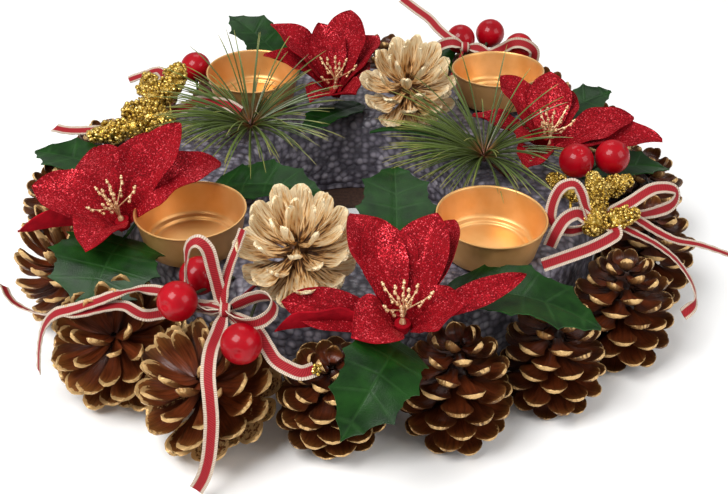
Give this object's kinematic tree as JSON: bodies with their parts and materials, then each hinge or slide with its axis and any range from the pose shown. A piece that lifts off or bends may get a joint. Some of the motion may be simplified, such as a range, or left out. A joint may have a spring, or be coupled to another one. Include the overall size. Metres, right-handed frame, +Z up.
{
  "type": "advent wreath",
  "caption": "Low round table wreath of pine cones with gold candle cups, red fabric poinsettias, berries, gold glitter picks, pine sprays and striped ribbon bows.",
  "frame": {"origin": "middle of the wreath's outline, on the surface it stands on", "axes": "+Z up; -Y towards the wreath's front, where the long bow hangs down; +X to its right seen from the front"},
  "size_m": [0.3062, 0.3178, 0.0978],
  "materials": {
    "brown_board": "matt dark brown",
    "dark_bead_foam": "matt, beaded",
    "gold_metal": "satin gold",
    "pine_cone": "natural with gold touched edges",
    "gold_paint": "gold painted",
    "red_glitter_fabric": "red glitter",
    "gold_pips": "pale gold",
    "green_leaf_fabric": "dark green with a slight sheen",
    "red_lacquer": "high gloss",
    "gold_glitter": "gold glitter beads",
    "pine_needles": "satin green",
    "red_ribbon": "woven red with white edges"
  },
  "bodies": {
    "root": {"base_ring": "brown_board", "foam_ring": "dark_bead_foam", "cup_front_left": "gold_metal", "cup_front_right": "gold_metal", "cup_back_left": "gold_metal", "cup_back_right": "gold_metal", "cone_01": "pine_cone", "cone_02": "pine_cone", "cone_03": "pine_cone", "cone_04": "pine_cone", "cone_05": "pine_cone", "cone_06": "pine_cone", "cone_07": "pine_cone", "cone_08": "pine_cone", "cone_09": "pine_cone", "cone_10": "pine_cone", "cone_11": "pine_cone", "cone_12": "pine_cone", "cone_13": "pine_cone", "cone_14": "pine_cone", "cone_15": "pine_cone", "cone_16": "pine_cone", "cone_17": "pine_cone", "cone_18": "pine_cone", "gold_cone_front": "gold_paint", "gold_cone_back": "gold_paint", "bloom_left": "red_glitter_fabric", "stamens_left": "gold_pips", "bloom_front": "red_glitter_fabric", "stamens_front": "gold_pips", "bloom_back": "red_glitter_fabric", "stamens_back": "gold_pips", "bloom_right": "red_glitter_fabric", "stamens_right": "gold_pips", "berries_front_left": "red_lacquer", "berries_front": "red_lacquer", "berries_right": "red_lacquer", "berries_back": "red_lacquer", "berries_left": "red_lacquer", "glitter_left": "gold_glitter", "glitter_right": "gold_glitter", "leaf_left_low": "green_leaf_fabric", "leaf_left_high": "green_leaf_fabric", "leaf_inner_left": "green_leaf_fabric", "leaf_back_left": "green_leaf_fabric", "leaf_back_right": "green_leaf_fabric", "leaf_inner_back": "green_leaf_fabric", "leaf_inner_mid": "green_leaf_fabric", "leaf_right_high": "green_leaf_fabric", "leaf_right_low": "green_leaf_fabric", "leaf_inner_front": "green_leaf_fabric", "leaf_front_low": "green_leaf_fabric", "leaf_front_right": "green_leaf_fabric", "bow_front": "red_ribbon", "bow_right": "red_ribbon", "bow_back": "red_ribbon", "bow_left": "red_ribbon", "pine_left": "pine_needles", "pine_right": "pine_needles"}
  },
  "joints": []
}
